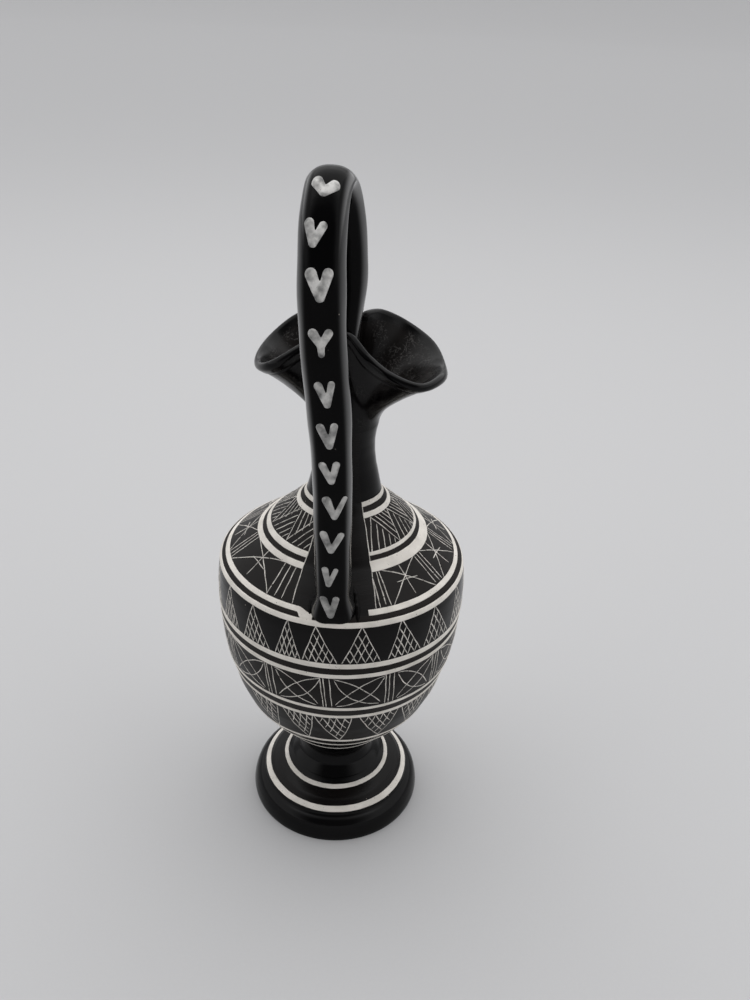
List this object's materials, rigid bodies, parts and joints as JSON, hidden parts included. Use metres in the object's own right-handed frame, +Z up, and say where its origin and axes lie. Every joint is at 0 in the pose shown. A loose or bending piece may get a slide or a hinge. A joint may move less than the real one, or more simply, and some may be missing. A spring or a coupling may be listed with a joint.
{
  "type": "pedestal jug",
  "caption": "Black clay jug on a pedestal foot with a pinched three-lobed mouth, a high strap handle, white slip bands and dabbed hearts.",
  "frame": {"origin": "centre of the foot's resting plane", "axes": "+Z up along the turning axis; the handle stands on the -Y side and the pouring lobe points along +Y; +X to the right seen from the handle side"},
  "size_m": [0.0898, 0.0908, 0.2482],
  "materials": {
    "black_clay": "burnished satin black, brown-black and matt where it is scratched",
    "white_slip": "matt chalky off-white slip"
  },
  "bodies": {
    "root": {"foot": "black_clay", "stem": "black_clay", "bowl": "black_clay", "shoulder": "black_clay", "neck": "black_clay", "mouth": "black_clay", "handle": "black_clay", "foot_band_lower": "white_slip", "foot_band_upper": "white_slip", "bowl_line_bottom": "white_slip", "bowl_line_middle": "white_slip", "bowl_line_top": "white_slip", "belly_band_1": "white_slip", "belly_band_2": "white_slip", "belly_band_3": "white_slip", "belly_band_4": "white_slip", "shoulder_band_1": "white_slip", "shoulder_band_2": "white_slip", "shoulder_band_3": "white_slip", "shoulder_band_4": "white_slip", "neck_band_1": "white_slip", "neck_band_2": "white_slip", "heart_01": "white_slip", "heart_02": "white_slip", "heart_03": "white_slip", "heart_04": "white_slip", "heart_05": "white_slip", "heart_06": "white_slip", "heart_07": "white_slip", "heart_08": "white_slip", "heart_09": "white_slip", "heart_10": "white_slip", "heart_11": "white_slip"}
  },
  "joints": []
}
